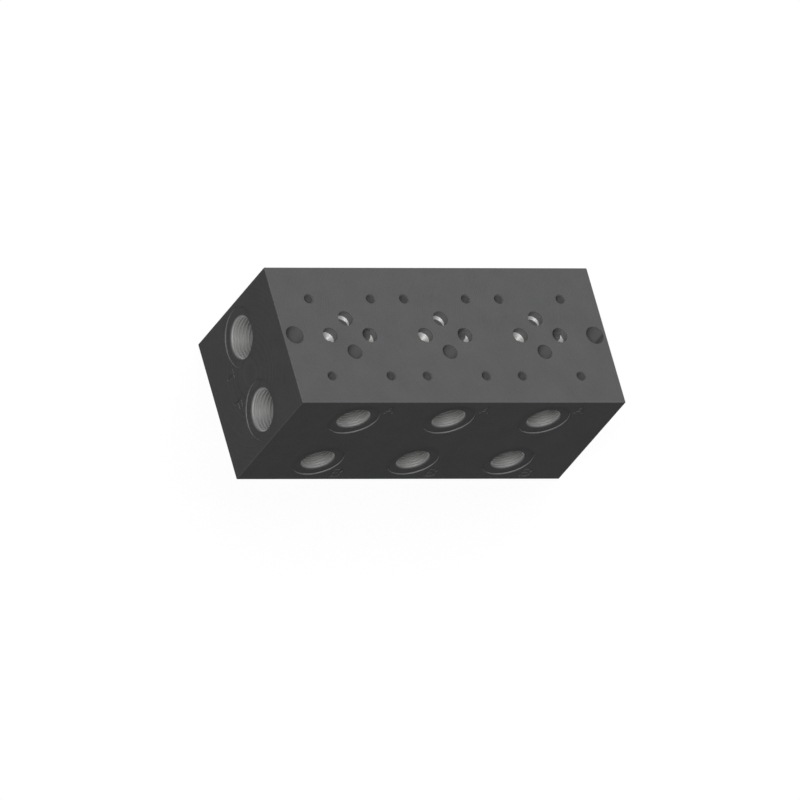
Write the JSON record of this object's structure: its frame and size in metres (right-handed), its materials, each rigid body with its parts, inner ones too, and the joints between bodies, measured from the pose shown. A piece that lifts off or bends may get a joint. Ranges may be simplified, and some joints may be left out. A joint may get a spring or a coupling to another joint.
{
  "type": "hydraulic manifold block",
  "caption": "Bar manifold block with ISO 4401-03 valve stations on top, threaded work ports in front and through pressure and tank galleries.",
  "frame": {"origin": "centre of the underside", "axes": "+Z out of the valve face, +X along the bar from the left end to the right, +Y from the front, which has the work ports, to the back"},
  "size_m": [0.17, 0.071, 0.07],
  "materials": {
    "phosphated_iron": "dark grey manganese phosphate over machined iron"
  },
  "bodies": {
    "root": {"manifold_block": "phosphated_iron"}
  },
  "joints": []
}
